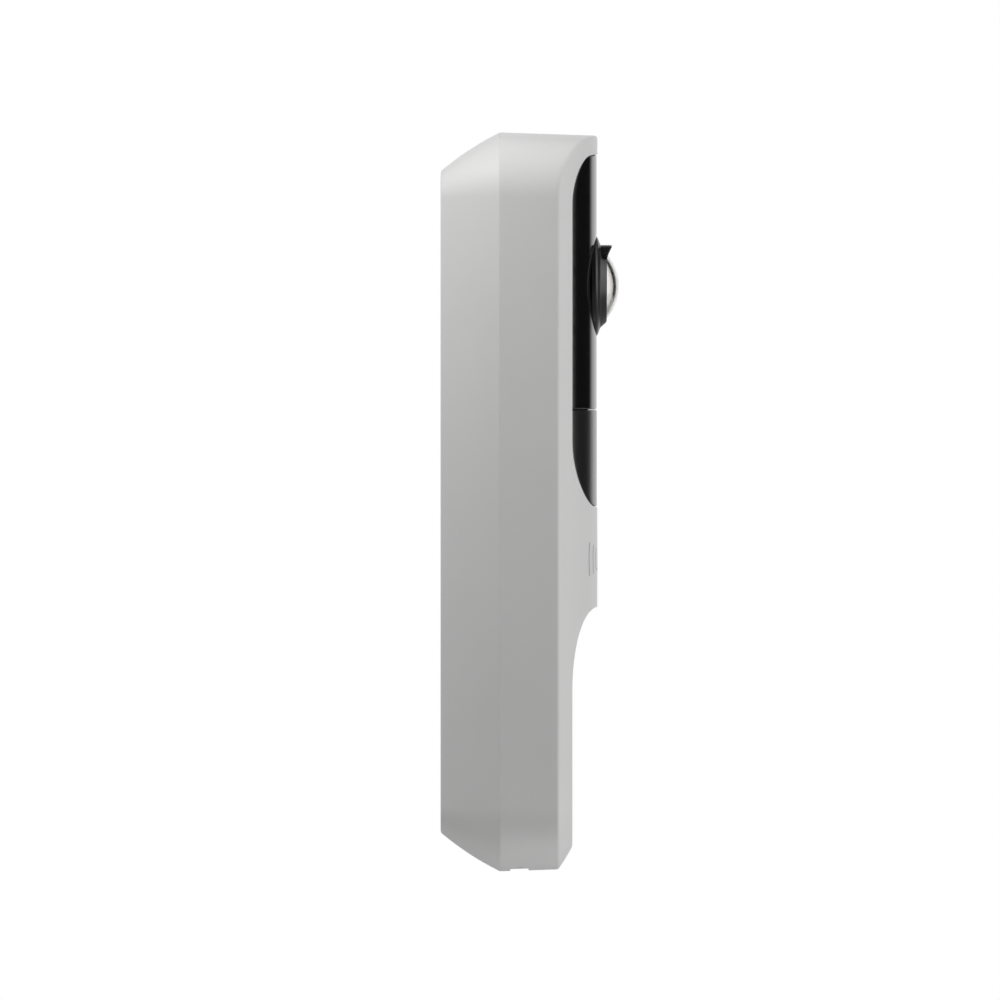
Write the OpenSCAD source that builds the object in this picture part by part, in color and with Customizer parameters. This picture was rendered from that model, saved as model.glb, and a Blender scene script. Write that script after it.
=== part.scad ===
/* [Housing] */
// Width of the housing
body_w = 47; // [42:0.5:57]
// Height of the housing
body_h = 137; // [125:1:165]
// Radius of the four corners in front view
corner_r = 11.5; // [11.5:0.5:14]
// Radius of the slightly crowned top and bottom ends
crown_r = 130; // [90:5:160]
// Wall to parting line, the depth of the rear cover
rear_d = 11; // [11:0.2:14]
// Parting line to front edge, the straight side of the front shell
side_d = 10.8; // [10:0.2:13]
// Radius of the convex front, seen from above
front_r = 40.5; // [36:0.5:48]
// Draft angle of the front shell's sides
draft = 1.9; // [0.5:0.1:2.5]
// How far the rear cover draws in between the parting line and the wall
taper_in = 7.2; // [5.5:0.1:7.6]
// Radius of the bowed taper of the rear cover
taper_r = 53; // [45:1:90]
// Wall thickness of the front shell
shell_wall = 2.4; // [2:0.1:2.8]
// Wall thickness of the rear cover at the parting line
rear_wall = 4.2; // [3.8:0.1:4.6]
// Wall thickness around the bracket recess
recess_wall = 2.5; // [1.8:0.1:2.8]
// Depth of the bracket recess
recess_d = 5.6; // [5.6:0.1:6]
// Thickness of the rear cover's floor
floor_t = 1.6; // [1.2:0.1:1.8]

/* [Button scoop] */
// Depth of the flat plateau, from the parting line
plateau_rise = 13.4; // [13:0.1:14]
// Height of the scoop's sharp upper edge, from the centre
scoop_z = -19.4; // [-21:0.1:-18]
// Height where the scoop meets the plateau, from the centre
scoop_end_z = -34.8; // [-35:0.1:-33]
// Wall thickness behind the plateau
plateau_wall = 2.8; // [2.4:0.1:3.2]

/* [Window] */
// Half the width of the black window
window_half_w = 18.6; // [17:0.1:19.2]
// Height of the window's upper end, from the centre
window_top = 64.3; // [60:0.1:64.6]
// Height of the window's lower end, from the centre
window_bottom = -0.8; // [-4:0.1:4]
// Radius of the window's upper corners
window_corner_r = 8.9; // [8:0.1:12]
// Radius of the window's lower corners
window_low_corner_r = 11.9; // [8:0.1:13]
// Radius of the window's slightly crowned ends
window_crown_r = 150; // [90:5:200]
// Height of the split between the camera window and the motion lens
split_z = 17.1; // [14:0.1:20]
// Thickness of the window panels
window_t = 1.6; // [1.2:0.1:1.8]
// Width of the ledge that the window is bonded to
window_ledge = 1.8; // [1.2:0.1:2.2]
// Thickness of the adhesive frame
glue_t = 0.25; // [0.1:0.05:0.3]

/* [Camera] */
// Height of the lens axis, from the centre
lens_z = 40; // [38:0.5:42]
// Outer radius of the lens bezel
bezel_r = 9.35; // [8.8:0.05:9.6]
// Radius of the bezel's neck in the window bore
neck_r = 7.9; // [7.6:0.1:8.2]
// Radius of the lens dome at the bezel
dome_r = 5.95; // [5.6:0.05:6.1]
// Radius of the lens dome's outer sphere
dome_sphere_r = 9; // [8.4:0.1:10]
// Thickness of the lens dome
dome_t = 1; // [0.8:0.1:1.1]
// How far the bezel's rim stands above the window
bezel_rise = 1.75; // [1.5:0.05:2]
// Radius of the lens barrel
barrel_r = 5.4; // [5:0.1:5.6]

/* [Button] */
// Height of the button's centre, from the centre
button_z = -48; // [-48.4:0.1:-47.6]
// Radius of the button cap
button_r = 10.2; // [9.5:0.1:10.6]
// Thickness of the button cap
button_t = 2; // [1.6:0.1:2.2]
// Width of the light ring around the button
ring_w = 2.2; // [1.6:0.1:2.3]
// Travel of the button
button_travel = 0.5; // [0.3:0.05:0.6]
// Radius of the button's plunger
plunger_r = 1.5; // [1.2:0.1:1.8]

/* [Bracket] */
// Thickness of the mounting plate
plate_t = 2; // [1.6:0.1:2.1]
// Distance between the two wall screw holes
screw_spacing = 88; // [80:0.5:90]
// Height of the point midway between the two wall screw holes
screw_mid_z = 4; // [3:0.5:5]
// Radius of the wall screw holes
wall_hole_r = 2.25; // [1.8:0.05:2.6]
// Radius of the cable entry
cable_r = 5; // [4:0.1:5.4]
// Height of the cable entry
cable_z = -9; // [-9.5:0.1:-8]
// How far the housing slides up to come off its hooks
lift = 6; // [5:0.1:6]

/* [Boards] */
// Thickness of the main board
board_t = 1.2; // [1:0.1:1.6]
// Depth of the main board's rear face, from the parting line
board_rise = 1.6; // [1.6:0.1:1.8]
// Depth of the chassis plate's rear face, from the parting line
chassis_rise = 7.6; // [7.6:0.1:7.8]
// Thickness of the chassis plate
chassis_t = 1.4; // [1.2:0.1:1.6]
// Depth of the button board's rear face, from the parting line
button_board_rise = 5.6; // [5.4:0.1:5.8]

/* [Screws] */
// Radius of the case screws' shanks
case_screw_r = 1.1; // [1:0.05:1.2]
// Radius of the board screws' shanks
board_screw_r = 0.9; // [0.8:0.05:1]
// Radius of the terminal screws' shanks
terminal_r = 1.5; // [1.3:0.05:1.6]
// Distance between the two terminal screws
terminal_spacing = 12; // [11.5:0.1:12.5]
// Height of the terminal screws
terminal_z = -20; // [-20.4:0.1:-19.6]
// Radius of the lock screw's shank
lock_r = 1.2; // [1:0.05:1.25]
// Depth of the lock screw's axis, from the wall
lock_d = 3.5; // [3.5:0.05:3.6]

/* [Clearances] */
// Gap around pieces that are set into a pocket
set_gap = 0.15; // [0.1:0.01:0.2]
// Gap around pieces that move
move_gap = 0.3; // [0.25:0.01:0.35]
// Radial clearance of a running fit
run_gap = 0.06; // [0.03:0.01:0.09]
// Radial clearance of a hole that a screw passes through
screw_gap = 0.25; // [0.15:0.05:0.35]

/* [Hidden] */
$fn = 64;
eps = 0.01;
far = 100;
// Facets along each corner arc and each end arc of an outline
corner_steps = 12;
end_steps = 8;
half_w = body_w / 2;
half_h = body_h / 2;
front_edge_d = rear_d + side_d;
side_in = side_d * tan(draft);
// Depth of the axis of the convex front, behind the wall when negative
front_c = front_edge_d - sqrt(pow(front_r, 2) - pow(half_w - side_in, 2));
front_apex = front_c + front_r;
floor_d = recess_d + floor_t;
recess_in = taper_in + recess_wall;
plateau_d = rear_d + plateau_rise;
board_d = rear_d + board_rise;
chassis_d = rear_d + chassis_rise;
button_board_d = rear_d + button_board_rise;
inner_front_d = plateau_d - plateau_wall;
tongue_in = shell_wall + set_gap;
tongue_d = rear_d + 1.5;
// An outline is [half width, half height, end radius, upper corner radius, lower corner radius]
body_shape = [half_w, half_h, crown_r, corner_r, corner_r];
window_mid = (window_top + window_bottom) / 2;
window_half_h = (window_top - window_bottom) / 2;
window_shape = [window_half_w, window_half_h, window_crown_r, window_corner_r, window_low_corner_r];
window_r = front_r - 0.1;
window_back_r = window_r - window_t;
split_gap = 0.1;
split_bar = 3;
scoop_tall = scoop_z - scoop_end_z;
scoop_deep = front_apex + 0.2 - plateau_d;
scoop_steps = 18;
// Lens stack, as depths from the wall
bezel_seat_d = front_apex - 1.15;
bezel_edge_d = front_apex - 0.25;
rim_d = front_apex + bezel_rise;
neck_d = bezel_seat_d - 1.9;
dome_c = rim_d - sqrt(pow(dome_sphere_r, 2) - pow(dome_r, 2));
dome_seat_d = rim_d - 0.95;
barrel_front_d = dome_seat_d - 0.75;
barrel_back_d = rear_d + 6.6;
camera_board_d = rear_d + 4;
camera_board_t = 1;
mount_r = barrel_r + 1;
sensor_board_d = chassis_d + chassis_t;
sensor_board_t = 1;
sensor_face_d = sensor_board_d + sensor_board_t;
sensor_half_w = 14.5;
board_face_d = board_d + board_t;
button_face_d = button_board_d + 1;
ring_in_r = button_r + move_gap;
ring_r = ring_in_r + ring_w;
ring_flange_r = ring_r + 1.3;
cap_back_d = plateau_d - button_t;
seal_d = cap_back_d - button_travel - move_gap - 1;
seal_t = 0.6;
plunger_end_d = rear_d + 8.6;
// Places as [x, height from the centre]
lens_at = [0, lens_z];
button_at = [0, button_z];
case_top_z = half_h - recess_in - 4.3;
boss_r = 2.6;
case_low_z = button_z + ring_flange_r + boss_r + 0.4;
case_screws_at = [[-7, case_top_z], [7, case_top_z], [-9.5, case_low_z], [9.5, case_low_z]];
post_x = half_w - shell_wall - 3.8;
posts_at = [[-post_x, 46], [post_x, 46], [-post_x, -8], [post_x, -8]];
post_r = 2.2;
button_posts_at = [[-post_x, button_z], [post_x, button_z]];
ir_leds_at = [[-10, 49.4], [10, 49.4], [-10, 30.6], [10, 30.6]];
pir_at = [0, (split_z + window_bottom) / 2];
terminals_at = [[-terminal_spacing / 2, terminal_z], [terminal_spacing / 2, terminal_z]];
tamper_at = [0, 25];
reset_at = [0, case_low_z - 2];
vent_at = [0, 36];
hook_x = 8;
hooks_z = [0, 38];
hook_lip_d = 4.6;
mic_d = rear_d + 3.8;
grille_d = rear_d + 1.9;
grille_deep = 3.4;
grille_half_w = 10.5;
mic_x = grille_half_w + 2.8;
notch_in = 0.55;
speaker_z = -half_h + 7.9;
tamper_r = 1.2;
plate_in = recess_in + 2 * move_gap;
plate_bottom = -half_h + plate_in + lift;
lock_seat_z = -half_h + recess_in - 1.3;
insert_r = lock_r + 0.4;
reset_r = 2;

// ---- Frames: a front view is drawn as [x, height], and depth is its third axis ----

module face_on() {
    rotate([90, 0, 0]) children();
}

// Puts a piece drawn about the depth axis at a place in the front view
module at(place, d = 0) {
    translate([place[0], place[1], d]) children();
}

// A disc or tube about the depth axis, between two depths
module disc(r, d0, d1) {
    translate([0, 0, d0]) cylinder(r = r, h = d1 - d0);
}

// A block centred on x = 0, from low to high in the front view and between two depths
module block(x0, x1, z0, z1, d0, d1) {
    translate([x0, z0, d0]) cube([x1 - x0, z1 - z0, d1 - d0]);
}

// A section drawn as [depth, height] and drawn out sideways, centred
module side_view(w) {
    rotate([0, -90, 0]) linear_extrude(w, center = true) children();
}

// ---- Arched outlines: four corner arcs and two shallow end arcs that meet tangentially ----

function end_c(shape) = shape[1] - shape[2];
function corner_z(shape, r) = end_c(shape) + sqrt(pow(shape[2] - r, 2) - pow(shape[0] - r, 2));
function end_angle(shape, r) = asin((shape[0] - r) / (shape[2] - r));
function arc(x, z, r, from, to, steps, skip) = [
    for (i = [skip:steps - skip]) let (a = from + (to - from) * i / steps) [x + r * cos(a), z + r * sin(a)]
];

// The outline's points, drawn in by inset
function outline(shape, inset) = let (
    end_r = shape[2] - inset,
    high_r = shape[3],
    high_x = shape[0] - high_r,
    high_z = corner_z(shape, high_r),
    high_turn = end_angle(shape, high_r),
    low_r = shape[4],
    low_x = shape[0] - low_r,
    low_z = -corner_z(shape, low_r),
    low_turn = end_angle(shape, low_r)
) concat(
    arc(high_x, high_z, high_r - inset, 0, 90 - high_turn, corner_steps, 0),
    arc(0, end_c(shape), end_r, 90 - high_turn, 90 + high_turn, end_steps, 1),
    arc(-high_x, high_z, high_r - inset, 90 + high_turn, 180, corner_steps, 0),
    arc(-low_x, low_z, low_r - inset, 180, 270 - low_turn, corner_steps, 0),
    arc(0, -end_c(shape), end_r, 270 - low_turn, 270 + low_turn, end_steps, 1),
    arc(low_x, low_z, low_r - inset, 270 + low_turn, 360, corner_steps, 0)
);

// A slab of the outline, drawn in by inset, between two depths
module slab(shape, inset, d0, d1) {
    translate([0, 0, d0]) linear_extrude(d1 - d0) polygon(outline(shape, inset));
}

// A band that follows the outline between two insets
module band(shape, outer, inner, d0, d1) {
    difference() {
        slab(shape, outer, d0, d1);
        slab(shape, inner, d0 - 1, d1 + 1);
    }
}

// ---- Outer shape ----

// The convex front as a solid cylinder about an upright axis
module front_cylinder(r) {
    translate([0, 0, front_c]) rotate([90, 0, 0]) cylinder(r = r, h = 2 * far, center = true);
}

module drafted_block() {
    top_d = front_apex + 2;
    intersection() {
        hull() {
            slab(body_shape, 0, rear_d - 1, rear_d);
            slab(body_shape, (top_d - rear_d) * tan(draft), top_d, top_d + 1);
        }
        block(-far, far, -far, far, rear_d, far);
    }
}

// Carries the curve of the front's side edges around the whole outline
module rim_block() {
    steps = 8;
    hull() {
        slab(body_shape, -1, 0, 1);
        for (i = [0:steps]) {
            inset = i - 1;
            d = front_c + sqrt(pow(front_r + 0.02, 2) - pow(half_w - inset, 2));
            slab(body_shape, inset, 0, d);
        }
    }
}

// A quarter ellipse that eases from the sharp upper edge into the plateau, as [depth, height]
module scoop_profile() {
    curve = [
        for (i = [0:scoop_steps]) let (a = 90 * i / scoop_steps)
        [plateau_d + scoop_deep * (1 - cos(a)), scoop_end_z + scoop_tall * sin(a)]
    ];
    polygon(concat(curve, [[far, scoop_z], [far, -far], [plateau_d, -far]]));
}

module front_outer() {
    difference() {
        intersection() {
            drafted_block();
            front_cylinder(front_r);
        }
        side_view(2 * far) scoop_profile();
        difference() {
            block(-far, far, -far, 1 - corner_z(body_shape, corner_r), rear_d + 1, far);
            rim_block();
        }
    }
}

// The bowed taper of the rear cover: its outline draws in along an arc towards the wall
function taper_at(d) = let (
    chord = sqrt(pow(rear_d, 2) + pow(taper_in, 2)),
    back = sqrt(pow(taper_r, 2) - pow(chord / 2, 2)),
    x = taper_in / 2 + back * rear_d / chord,
    z = rear_d / 2 + back * taper_in / chord
) x - sqrt(pow(taper_r, 2) - pow(d - z, 2));

module taper_block() {
    steps = 6;
    hull() {
        for (i = [0:steps]) {
            d = rear_d * i / steps;
            slab(body_shape, taper_at(d), min(d, rear_d - eps), rear_d);
        }
    }
}

// ---- Screws ----

module screw(head_r, head_t, shank_r, len, slot_w) {
    difference() {
        union() {
            disc(shank_r, -head_t / 2, len);
            disc(head_r, -head_t, 0);
        }
        block(-slot_w / 2, slot_w / 2, -head_r - 1, head_r + 1, -head_t - 1, -head_t * 0.5);
    }
}

module hex_drive_screw(head_r, head_t, shank_r, len, drive_r) {
    difference() {
        union() {
            disc(shank_r, -head_t / 2, len);
            disc(head_r, -head_t, 0);
        }
        translate([0, 0, -head_t - 1]) cylinder(r = drive_r, h = head_t * 0.6 + 1, $fn = 6);
    }
}

// ---- Bracket ----

module hook() {
    block(-2, 2, -2, 0, plate_t - eps, hook_lip_d);
    block(-2, 2, -2, 4.4, hook_lip_d - 1.1, hook_lip_d);
}

module mounting_plate() color("silver") face_on() {
    difference() {
        union() {
            // The lower end is arched, and stays clear of the recess when the housing has slid up
            intersection() {
                slab(body_shape, plate_in, 0, plate_t);
                translate([0, lift, 0]) slab(body_shape, plate_in, -1, plate_t + 1);
            }
            for (x = [-hook_x, hook_x], z = hooks_z) translate([x, z, 0]) hook();
            block(-3, 3, plate_bottom, plate_bottom + 5, plate_t - eps, recess_d - move_gap);
        }
        for (s = [-1, 1]) at([0, screw_mid_z + s * screw_spacing / 2]) disc(wall_hole_r, -1, plate_t + 1);
        at([0, cable_z]) disc(cable_r, -1, plate_t + 1);
        translate([0, plate_bottom - 1, lock_d]) rotate([-90, 0, 0]) cylinder(r = insert_r, h = 7);
    }
}

module lock_insert() color("goldenrod") face_on() {
    translate([0, plate_bottom + 0.4, lock_d]) rotate([-90, 0, 0]) difference() {
        cylinder(r = insert_r, h = 4.2);
        translate([0, 0, -1]) cylinder(r = lock_r + run_gap, h = 7);
    }
}

// ---- Rear cover ----

module catch() {
    block(-1.9, 1.9, 5.2, 7.2, plate_t + move_gap, recess_d + eps);
    block(-1.9, 1.9, 0.7, 7.2, plate_t + move_gap, hook_lip_d - 1.1 - move_gap);
}

module terminal_pocket(d0, d1, gap) {
    block(-10 - gap, 10 + gap, terminal_z - 4.5 - gap, terminal_z + 4.5 + gap, d0, d1);
}

module lock_axis() {
    translate([0, 0, lock_d]) rotate([-90, 0, 0]) children();
}

module rear_cover() color("whitesmoke") face_on() {
    difference() {
        union() {
            taper_block();
            band(body_shape, tongue_in, rear_wall, rear_d - eps, tongue_d);
        }
        slab(body_shape, recess_in, -1, recess_d);
        slab(body_shape, rear_wall, floor_d, tongue_d + 1);
        band(body_shape, tongue_in - eps, tongue_in + 0.7, rear_d + 0.5, rear_d + 1.2);
        for (p = case_screws_at) at(p) disc(case_screw_r + screw_gap, recess_d - 1, floor_d + 1);
        terminal_pocket(recess_d - 1, floor_d + 1, set_gap);
        at(tamper_at) disc(tamper_r + run_gap, recess_d - 1, floor_d + 1);
        at(reset_at) disc(reset_r + run_gap, recess_d - 1, floor_d + 1);
        at(vent_at) disc(1.5, recess_d - 1, floor_d + 1);
        lock_axis() translate([0, 0, -half_h]) cylinder(r = 2.7, h = half_h + lock_seat_z);
        lock_axis() translate([0, 0, lock_seat_z - 1]) cylinder(r = lock_r + screw_gap, h = 6);
    }
    for (x = [-hook_x, hook_x], z = hooks_z) translate([x, z, 0]) catch();
}

module shell_gasket() color("dimgray") face_on() {
    band(body_shape, shell_wall + 0.03, tongue_in + 0.67, rear_d + 0.52, rear_d + 1.18);
}

// ---- Front shell ----

module window_prism(inset, z0, z1) {
    intersection() {
        translate([0, window_mid, 0]) slab(window_shape, inset, inner_front_d - 5, front_apex + 2);
        block(-far, far, z0, z1, 0, far);
    }
}

module shell_cavity() {
    slab(body_shape, shell_wall, rear_d - 1, inner_front_d);
    intersection() {
        slab(body_shape, shell_wall, inner_front_d - 1, far);
        front_cylinder(front_r - shell_wall);
        block(-far, far, scoop_z + shell_wall, far, 0, far);
    }
}

module post(p, d0, pilot_d) {
    at(p) difference() {
        disc(post_r, d0, inner_front_d + 3);
        disc(board_screw_r - 0.1, d0 - 1, pilot_d);
    }
}

module front_shell() color("white") face_on() {
    difference() {
        front_outer();
        shell_cavity();
        difference() {
            window_prism(-set_gap, -far, far);
            front_cylinder(window_back_r - glue_t);
        }
        window_prism(window_ledge, -far, split_z - split_bar / 2);
        window_prism(window_ledge, split_z + split_bar / 2, far);
        at(button_at) disc(ring_r + set_gap / 2, inner_front_d - 1, far);
        difference() {
            block(-grille_half_w, grille_half_w, -far, -half_h + 8, grille_d, grille_d + grille_deep);
            slab(body_shape, notch_in, 0, far);
        }
        for (i = [-4:4]) block(i * 2.2 - 0.5, i * 2.2 + 0.5, -far, -half_h + 6, grille_d + 0.5, grille_d + 2.9);
        intersection() {
            band(body_shape, shell_wall - 0.3, shell_wall + eps, grille_d, grille_d + grille_deep);
            block(-grille_half_w, grille_half_w, -far, 0, 0, far);
        }
        for (x = [-mic_x, mic_x]) translate([x, -far, mic_d]) rotate([-90, 0, 0]) cylinder(r = 0.5, h = half_h);
    }
    intersection() {
        union() {
            for (p = posts_at) post(p, sensor_board_d, sensor_board_d + 2.2);
            for (p = button_posts_at) post(p, button_face_d, inner_front_d);
        }
        front_cylinder(front_r - shell_wall + 0.3);
        slab(body_shape, shell_wall - 0.3, 0, far);
        union() {
            block(-far, far, scoop_z + 5, far, 0, far);
            block(-far, far, -far, scoop_z + 5, 0, inner_front_d + 0.3);
        }
    }
}

// ---- Window ----

module window_plate(r_out, r_in, inset, z0, z1) {
    difference() {
        intersection() {
            window_prism(inset, z0, z1);
            front_cylinder(r_out);
        }
        front_cylinder(r_in);
    }
}

module camera_window() color([0.03, 0.03, 0.035]) face_on() {
    difference() {
        window_plate(window_r, window_back_r, 0, split_z + split_gap / 2, far);
        at(lens_at) disc(bezel_r + set_gap, bezel_seat_d, far);
        at(lens_at) disc(neck_r + set_gap, 0, far);
    }
}

module pir_lens() color([0.1, 0.1, 0.11]) face_on() {
    window_plate(window_r, window_back_r, 0, -far, split_z - split_gap / 2);
}

module window_adhesive() color("black") face_on() {
    difference() {
        window_plate(window_back_r, window_back_r - glue_t, 0.3, -far, far);
        window_prism(window_ledge, -far, split_z - split_bar / 2);
        window_prism(window_ledge, split_z + split_bar / 2, far);
    }
}

// ---- Camera ----

module lens_bezel() color([0.05, 0.05, 0.05]) face_on() at(lens_at) rotate_extrude() {
    polygon([
        [dome_r + 0.05, neck_d], [neck_r, neck_d], [neck_r, bezel_seat_d], [bezel_r, bezel_seat_d],
        [bezel_r, bezel_edge_d], [bezel_r - 0.45, bezel_edge_d + 0.35], [bezel_r - 1.6, bezel_edge_d + 0.75],
        [dome_r + 0.75, rim_d - 0.1], [dome_r + 0.5, rim_d], [dome_r + 0.05, rim_d],
        [dome_r + 0.05, dome_seat_d], [barrel_r + 0.05, dome_seat_d - eps], [barrel_r + 0.05, dome_seat_d - 0.7],
        [dome_r + 0.05, dome_seat_d - 0.7]
    ]);
}

module lens_visor() color([0.06, 0.06, 0.06]) face_on() at(lens_at) {
    sweep = 84;
    rotate([0, 0, 90 - sweep / 2]) rotate_extrude(angle = sweep) polygon([
        [dome_r + 0.5, rim_d + 0.03], [dome_r + 0.78, rim_d - 0.07],
        [bezel_r - 1.7, bezel_edge_d + 0.92], [bezel_r - 1.7, rim_d + 0.7], [bezel_r - 1.9, rim_d + 1.05]
    ]);
}

module lens_dome() color([0.5, 0.45, 0.4, 0.5]) face_on() at(lens_at) {
    intersection() {
        difference() {
            translate([0, 0, dome_c]) sphere(r = dome_sphere_r);
            translate([0, 0, dome_c]) sphere(r = dome_sphere_r - dome_t);
        }
        disc(dome_r, dome_seat_d, far);
    }
}

module lens_barrel() color([0.08, 0.08, 0.08]) face_on() at(lens_at) difference() {
    disc(barrel_r, barrel_back_d, barrel_front_d);
    disc(4.6, barrel_front_d - 2, far);
    disc(3.6, barrel_back_d + 3, far);
    disc(3.1, 0, far);
    translate([0, 0, barrel_front_d - 1.2]) cylinder(r1 = 4.6, r2 = barrel_r - 0.2, h = 1.2 + eps);
}

module lens_element(r, d, thick, sphere_r) {
    intersection() {
        disc(r, d, d + thick);
        translate([0, 0, d + thick - sphere_r]) sphere(r = sphere_r);
    }
}

module front_lens() color([0.6, 0.7, 0.8, 0.6]) face_on() at(lens_at) {
    lens_element(4.55, barrel_front_d - 2, 1.7, 8);
}

module rear_lens() color([0.6, 0.7, 0.8, 0.6]) face_on() at(lens_at) {
    lens_element(3.55, barrel_back_d + 3, 2.2, 6.5);
}

module ir_filter() color([0.7, 0.3, 0.3, 0.7]) face_on() at(lens_at) {
    disc(3.05, barrel_back_d + 0.3, barrel_back_d + 0.6);
}

module image_sensor() color("darkslategray") face_on() {
    sensor_d = camera_board_d + camera_board_t;
    block(-3.4, 3.4, lens_z - 2.6, lens_z + 2.6, sensor_d, sensor_d + 0.8);
}

module camera_board() color("darkgreen") face_on() {
    block(-8, 8, lens_z - 8, lens_z + 8, camera_board_d, camera_board_d + camera_board_t);
}

module camera_mount() color([0.12, 0.12, 0.12]) face_on() difference() {
    base_d = camera_board_d + camera_board_t;
    union() {
        block(-7, 7, lens_z - 7, lens_z + 7, base_d, chassis_d);
        at(lens_at) disc(mount_r, base_d, sensor_face_d + 2);
    }
    at(lens_at) disc(barrel_r + 0.05, barrel_back_d - 0.1, far);
    block(-5, 5, lens_z - 4.4, lens_z + 4.4, base_d - 1, barrel_back_d);
}

module light_baffle() color([0.02, 0.02, 0.02]) face_on() at(lens_at) difference() {
    disc(mount_r + 1.1, sensor_face_d, neck_d - 0.2);
    disc(mount_r + 0.2, 0, far);
}

// ---- Boards ----

module sensor_board() color("darkgreen") face_on() difference() {
    block(-sensor_half_w, sensor_half_w, window_bottom + 0.6, 52.5, sensor_board_d, sensor_face_d);
    at(lens_at) disc(mount_r + 0.3, 0, far);
}

module ir_leds() color([0.25, 0.1, 0.3]) face_on() {
    for (p = ir_leds_at) at(p) {
        disc(1.9, sensor_face_d, sensor_face_d + 0.8);
        translate([0, 0, sensor_face_d + 0.8]) intersection() {
            sphere(r = 1.7);
            disc(1.7, 0, 2);
        }
    }
}

module light_sensor() color("lightblue") face_on() {
    block(-1.2, 1.2, 49.6, 51.6, sensor_face_d, sensor_face_d + 1);
}

module pir_sensor() color("gold") face_on() at(pir_at) difference() {
    union() {
        disc(4.6, sensor_face_d, sensor_face_d + 0.6);
        disc(4.1, sensor_face_d, sensor_face_d + 4.2);
    }
    block(-2, 2, -1.5, 1.5, sensor_face_d + 3.6, far);
}

module chassis() color("gray") face_on() difference() {
    union() {
        intersection() {
            slab(body_shape, shell_wall + move_gap, chassis_d, sensor_board_d);
            block(-far, far, case_low_z - boss_r, 62, 0, far);
        }
        for (p = case_screws_at) at(p) disc(boss_r, floor_d, sensor_board_d);
        for (p = posts_at) at(p) disc(post_r, board_face_d, sensor_board_d);
    }
    at(lens_at) disc(mount_r + 0.3, 0, far);
    for (p = case_screws_at) at(p) disc(case_screw_r - 0.1, 0, sensor_board_d - 1);
    for (p = posts_at) at(p) disc(board_screw_r + screw_gap, 0, far);
    for (x = [-12.2, 12.2]) block(x - 0.5, x + 0.5, 15.6, 24.4, 0, far);
    block(-6, 6, -26, -22, 0, far);
}

module main_board() color("darkgreen") face_on() difference() {
    intersection() {
        slab(body_shape, rear_wall, board_d, board_face_d);
        block(-far, far, case_low_z + 4, case_top_z - boss_r - move_gap, 0, far);
    }
    for (p = posts_at) at(p) disc(board_screw_r + screw_gap, 0, far);
}

module shield_can() color("silver") face_on() {
    block(-9, 9, 0, 20, board_face_d, board_face_d + 2.5);
}

module power_parts() color("dimgray") face_on() {
    block(-16, -11, -1, 5, board_face_d, board_face_d + 3);
    block(11, 16, 3, 8, board_face_d, board_face_d + 2.5);
    for (x = [-13.5, 13.5]) translate([x, 28, 0]) disc(2.4, board_face_d, board_face_d + 4);
}

module backup_battery() color("lightsteelblue") face_on() {
    hull() {
        for (x = [-12, 12], z = [-20, -5]) translate([x, z, 0]) disc(1.5, board_face_d + 0.1, chassis_d - 0.4);
    }
}

module wifi_antenna() color("peru") face_on() intersection() {
    band(body_shape, shell_wall + 0.02, shell_wall + 0.24, rear_d + 2.5, rear_d + 6.5);
    block(-12, 12, 0, far, 0, far);
}

module flex_cables() color("orange") face_on() {
    for (x = [-12.2, 12.2]) block(x - 0.15, x + 0.15, 16, 24, board_face_d, sensor_board_d);
    block(-4, 4, case_low_z + 4.4, case_low_z + 4.7, board_face_d, button_board_d - 0.2);
    block(-4, 4, case_low_z - 6, case_low_z + 4.7, button_board_d - 0.2, button_board_d);
}

// ---- Terminals, microphones and speaker ----

module terminal_block() color("ivory") face_on() difference() {
    terminal_pocket(recess_d, board_d - 0.6, 0);
    for (p = terminals_at) at(p) {
        disc(terminal_r + 0.5, 0, recess_d + 4.5);
        block(-3.2, 3.2, -3.4, 3.4, 0, recess_d + 1);
    }
}

module terminal_contacts() color("goldenrod") face_on() {
    for (p = terminals_at) at(p) difference() {
        block(-3.15, 3.15, -3.35, 3.35, recess_d + 0.1, recess_d + 1);
        disc(terminal_r + run_gap, 0, far);
    }
}

module microphones() color("silver") face_on() {
    for (x = [-mic_x, mic_x]) block(x - 1.5, x + 1.5, -58.9, -57.9, mic_d - 1.6, mic_d + 1.6);
}

module mic_seals() color("dimgray") face_on() intersection() {
    for (x = [-mic_x, mic_x]) translate([x, -far, mic_d]) rotate([-90, 0, 0]) difference() {
        cylinder(r = 1.6, h = far - 58.9);
        cylinder(r = 0.5, h = far);
    }
    slab(body_shape, shell_wall + 0.02, 0, far);
}

module speaker_frame() color([0.15, 0.15, 0.15]) face_on() difference() {
    block(-10, 10, speaker_z - 2.1, speaker_z + 2.1, rear_d - 1.8, rear_d + 5.2);
    block(-9.2, 9.2, speaker_z - 3, speaker_z + 1.1, rear_d - 1, rear_d + 4.4);
}

module speaker_cone() color([0.3, 0.3, 0.32]) face_on() difference() {
    block(-9.1, 9.1, speaker_z - 1.9, speaker_z - 1.3, rear_d - 0.9, rear_d + 4.3);
    translate([0, speaker_z - 1.9, rear_d + 1.7]) sphere(r = 0.4);
}

module speaker_magnet() color("gray") face_on() {
    block(-5, 5, speaker_z - 0.9, speaker_z + 1.1, rear_d - 0.2, rear_d + 3.6);
}

module speaker_gasket() color([0.2, 0.2, 0.2]) face_on() difference() {
    intersection() {
        block(-grille_half_w - 1, grille_half_w + 1, -far, speaker_z - 2.1, tongue_d + 0.2, rear_d + 5.6);
        slab(body_shape, shell_wall + 0.02, 0, far);
    }
    block(-9, 9, -far, far, grille_d + 0.4, rear_d + 5);
}

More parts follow.
